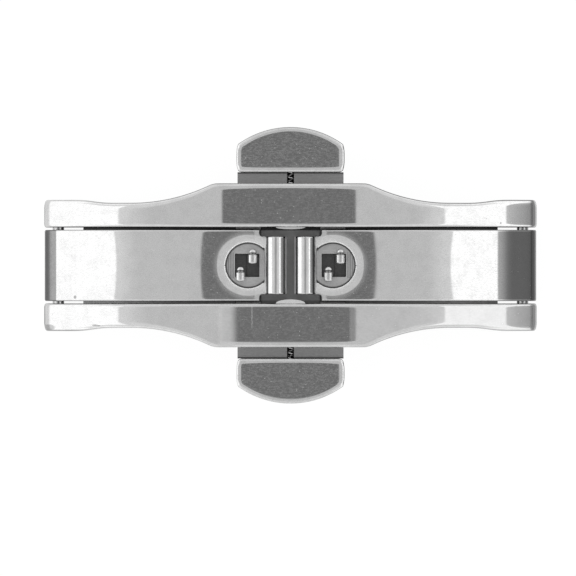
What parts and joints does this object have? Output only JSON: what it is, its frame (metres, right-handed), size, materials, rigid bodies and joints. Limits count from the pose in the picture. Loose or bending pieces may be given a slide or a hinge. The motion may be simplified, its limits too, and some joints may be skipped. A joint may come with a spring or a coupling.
{
  "type": "butterfly clasp",
  "caption": "Closed butterfly clasp for a watch strap: a bowed frame with folding arms, strap barrels at the middle, and spring push buttons at the sides.",
  "frame": {"origin": "middle of the closed clasp's footprint, on the surface that the rail ends stand on", "axes": "+X along the strap, +Y across it through the upper button, +Z out of the wearer's wrist"},
  "size_m": [0.0432, 0.0242, 0.0078],
  "materials": {
    "frame_steel": "polished stainless steel",
    "arm_steel": "polished stainless steel",
    "barrel_steel": "bright polished stainless steel",
    "cap_steel": "polished stainless steel",
    "slide_steel": "plain ground stainless steel",
    "plate_steel": "satin stainless steel",
    "hook_steel": "bright turned stainless steel",
    "pin_steel": "ground stainless steel",
    "spring_steel": "bright spring wire"
  },
  "bodies": {
    "frame": {"frame": "frame_steel", "left_hinge_pin": "pin_steel", "right_hinge_pin": "pin_steel", "lower_left_stop_pin": "pin_steel", "lower_right_stop_pin": "pin_steel", "upper_left_stop_pin": "pin_steel", "upper_right_stop_pin": "pin_steel", "lower_spring": "spring_steel", "upper_spring": "spring_steel"},
    "left_arm": {"left_arm": "arm_steel", "left_catch_plate": "plate_steel", "left_strap_barrel": "barrel_steel"},
    "right_arm": {"right_arm": "arm_steel", "right_catch_plate": "plate_steel", "right_strap_barrel": "barrel_steel"},
    "upper_button": {"upper_slide": "slide_steel", "upper_button_cap": "cap_steel", "upper_left_hook": "hook_steel", "upper_right_hook": "hook_steel"},
    "lower_button": {"lower_slide": "slide_steel", "lower_button_cap": "cap_steel", "lower_left_hook": "hook_steel", "lower_right_hook": "hook_steel"}
  },
  "joints": [
    {"name": "left_arm_hinge", "type": "hinge", "parent": "frame", "child": "left_arm", "pos_m": [-0.0204, 0, 0.00125], "axis": [0, -1, 0], "range_deg": [0, 150]},
    {"name": "right_arm_hinge", "type": "hinge", "parent": "frame", "child": "right_arm", "pos_m": [0.0204, 0, 0.00125], "axis": [0, 1, 0], "range_deg": [0, 150]},
    {"name": "upper_button_slide", "type": "slide", "parent": "frame", "child": "upper_button", "axis": [0, -1, 0], "range_m": [0, 0.0008], "stiffness_N_per_m": 2000, "springref_m": -0.001, "deforming": ["upper_spring"]},
    {"name": "lower_button_slide", "type": "slide", "parent": "frame", "child": "lower_button", "axis": [0, 1, 0], "range_m": [0, 0.0008], "stiffness_N_per_m": 2000, "springref_m": -0.001, "deforming": ["lower_spring"]}
  ]
}
